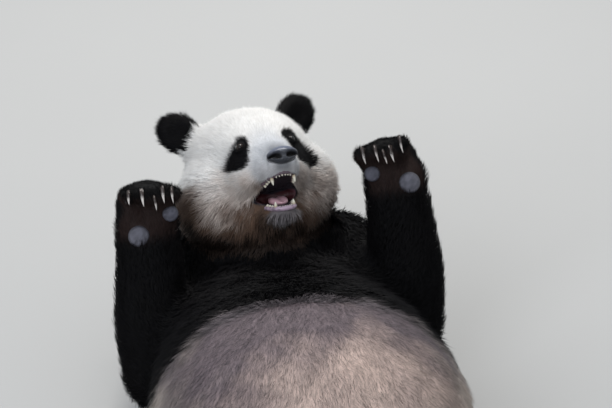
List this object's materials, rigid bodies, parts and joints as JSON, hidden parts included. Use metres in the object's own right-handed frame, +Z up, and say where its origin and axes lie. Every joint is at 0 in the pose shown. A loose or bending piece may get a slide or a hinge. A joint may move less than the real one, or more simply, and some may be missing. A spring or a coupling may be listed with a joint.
{
  "type": "giant panda, still life-size model",
  "caption": "Life-size giant panda lying on its back, head raised and mouth open, both forepaws lifted beside the muzzle.",
  "frame": {"origin": "middle of the bounding box on the floor that the animal lies on", "axes": "+Z up, +Y towards the head end, +X to the animal's own left"},
  "size_m": [0.8334, 1.4076, 0.5396],
  "materials": {
    "white_coat": "long soft white fur, tan towards the chin and grey-brown on the belly, with black over the shoulders and chest",
    "black_coat": "dense black fur with a brown cast at the tips and on the palms",
    "nose_leather": "moist pebbled black nose leather",
    "eye_brown": "wet dark brown eye with a black pupil",
    "tongue_pink": "moist pink tongue and gums",
    "claw_horn": "pale ivory horn, browner at the root; also the ivory of the teeth",
    "pad_leather": "bare grey-violet paw pad with fine cracks"
  },
  "bodies": {
    "root": {"carpal_pad_left": "pad_leather", "carpal_pad_right": "pad_leather", "claw_fore_left_1": "claw_horn", "claw_fore_left_2": "claw_horn", "claw_fore_left_3": "claw_horn", "claw_fore_left_4": "claw_horn", "claw_fore_left_5": "claw_horn", "claw_fore_right_1": "claw_horn", "claw_fore_right_2": "claw_horn", "claw_fore_right_3": "claw_horn", "claw_fore_right_4": "claw_horn", "claw_fore_right_5": "claw_horn", "claw_hind_left_1": "claw_horn", "claw_hind_left_2": "claw_horn", "claw_hind_left_3": "claw_horn", "claw_hind_left_4": "claw_horn", "claw_hind_left_5": "claw_horn", "claw_hind_right_1": "claw_horn", "claw_hind_right_2": "claw_horn", "claw_hind_right_3": "claw_horn", "claw_hind_right_4": "claw_horn", "claw_hind_right_5": "claw_horn", "ear_left": "black_coat", "ear_right": "black_coat", "eye_left": "eye_brown", "eye_right": "eye_brown", "forearm_left": "black_coat", "forearm_right": "black_coat", "forepaw_left": "black_coat", "forepaw_right": "black_coat", "head": "white_coat", "hindfoot_left": "black_coat", "hindfoot_right": "black_coat", "lower_jaw": "white_coat", "neck": "white_coat", "nose": "nose_leather", "shank_left": "black_coat", "shank_right": "black_coat", "tail": "white_coat", "thigh_left": "black_coat", "thigh_right": "black_coat", "thumb_pad_left": "pad_leather", "thumb_pad_right": "pad_leather", "tongue": "tongue_pink", "trunk": "white_coat", "upper_arm_left": "black_coat", "upper_arm_right": "black_coat"}
  },
  "joints": []
}
